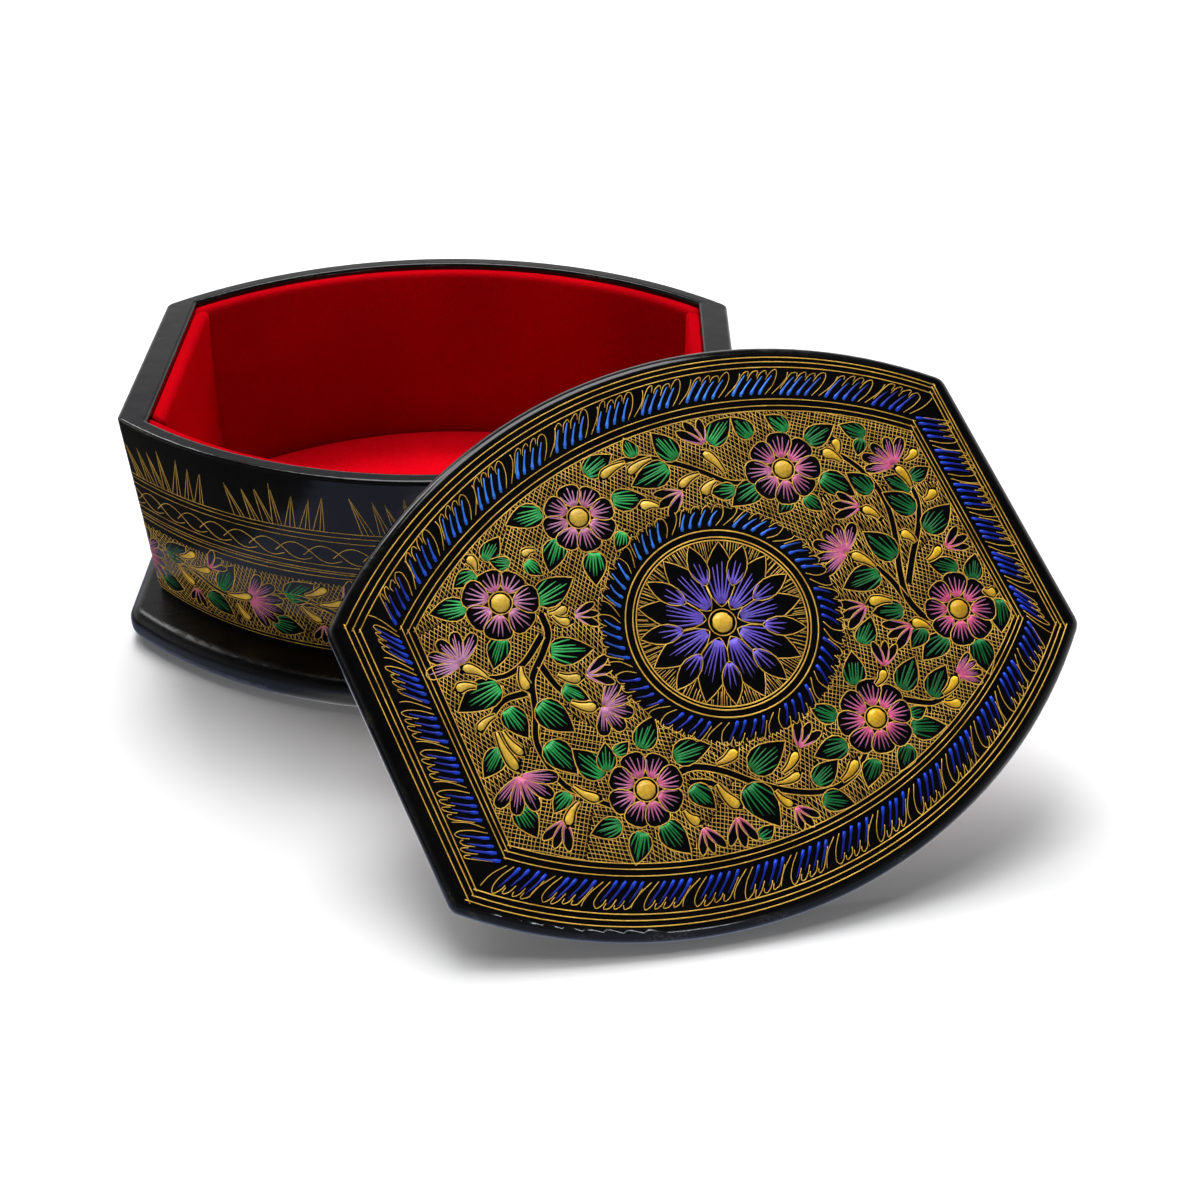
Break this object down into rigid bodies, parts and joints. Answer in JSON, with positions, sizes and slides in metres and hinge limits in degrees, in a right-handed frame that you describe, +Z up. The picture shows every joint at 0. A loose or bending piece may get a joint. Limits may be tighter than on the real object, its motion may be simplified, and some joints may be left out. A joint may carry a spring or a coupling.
{
  "type": "lacquered decorative box",
  "caption": "Black lacquered box with bowed long sides on a plinth, lined with red velvet, its painted lid lifted off and leaning on the front rim.",
  "frame": {"origin": "on the surface that the box stands on, under the centre of its base", "axes": "+Z up, X along the box's long axis, +Y from the front, where the lid leans, to the back"},
  "size_m": [0.3064, 0.2815, 0.1125],
  "materials": {
    "black_lacquer": "black lacquer, gloss, over wood, with raised paint strokes and fine gold lines on the lid and the walls",
    "bare_board": "unfinished thin wooden board, hidden in use",
    "lining_card": "grey-brown card, hidden under velvet",
    "red_velvet": "short-pile red velvet",
    "red_felt": "red felt"
  },
  "bodies": {
    "box": {"plinth_board": "black_lacquer", "front_wall": "black_lacquer", "back_wall": "black_lacquer", "left_end_wall": "black_lacquer", "right_end_wall": "black_lacquer", "bottom_board": "bare_board", "front_lining_card": "lining_card", "back_lining_card": "lining_card", "left_end_lining_card": "lining_card", "right_end_lining_card": "lining_card", "floor_card": "lining_card", "front_velvet": "red_velvet", "back_velvet": "red_velvet", "left_end_velvet": "red_velvet", "right_end_velvet": "red_velvet", "floor_velvet": "red_velvet", "plinth_felt": "red_felt"},
    "lid": {"lid_board": "black_lacquer", "lid_locating_board": "bare_board", "lid_velvet": "red_velvet"}
  },
  "joints": [
    {"name": "lid_lift", "type": "slide", "parent": "box", "child": "lid", "axis": [0, 0, 1], "range_m": [0, 0.12]}
  ]
}
